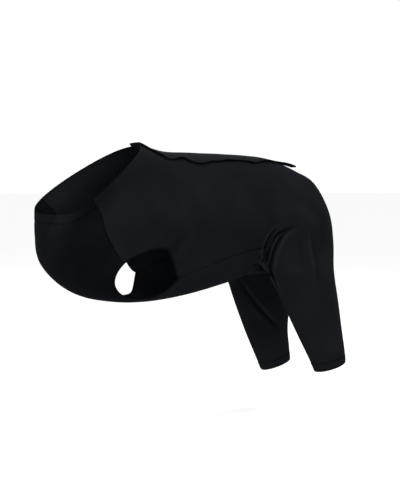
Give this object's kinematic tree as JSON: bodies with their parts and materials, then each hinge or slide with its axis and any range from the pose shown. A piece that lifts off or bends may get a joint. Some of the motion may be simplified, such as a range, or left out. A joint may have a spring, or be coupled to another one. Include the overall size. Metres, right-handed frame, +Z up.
{
  "type": "dog jumpsuit",
  "caption": "Black stretch jumpsuit for a large dog, open at neck, front legs and tail, with hind-leg sleeves, a long wavy flap over the spine and a darker chest and belly panel.",
  "frame": {"origin": "top of the neck opening, over the wearer's withers, on the middle plane", "axes": "+X from the neck to the tail, +Y to the wearer's right, +Z up; the suit is in its worn shape, held up, with nothing inside"},
  "size_m": [0.6435, 0.273, 0.5006],
  "materials": {
    "side_jersey": "black stretch jersey, matt",
    "underside_jersey": "darker black stretch jersey, matt",
    "flap_jersey": "charcoal jersey, matt, one layer, turned edges",
    "edge_trim": "black rolled and stitched edge",
    "fastening_tape": "plain black fastening strip, out of sight"
  },
  "bodies": {
    "root": {"side_panel_left": "side_jersey", "side_panel_right": "side_jersey", "inner_leg_left": "underside_jersey", "inner_leg_right": "underside_jersey", "leg_cuff_left": "side_jersey", "leg_cuff_right": "side_jersey", "armhole_edge_left": "edge_trim", "armhole_edge_right": "edge_trim", "chest_belly_panel": "underside_jersey", "neck_band": "underside_jersey", "tail_opening_edge": "edge_trim", "back_flap": "flap_jersey", "closure_tape": "fastening_tape"}
  },
  "joints": []
}
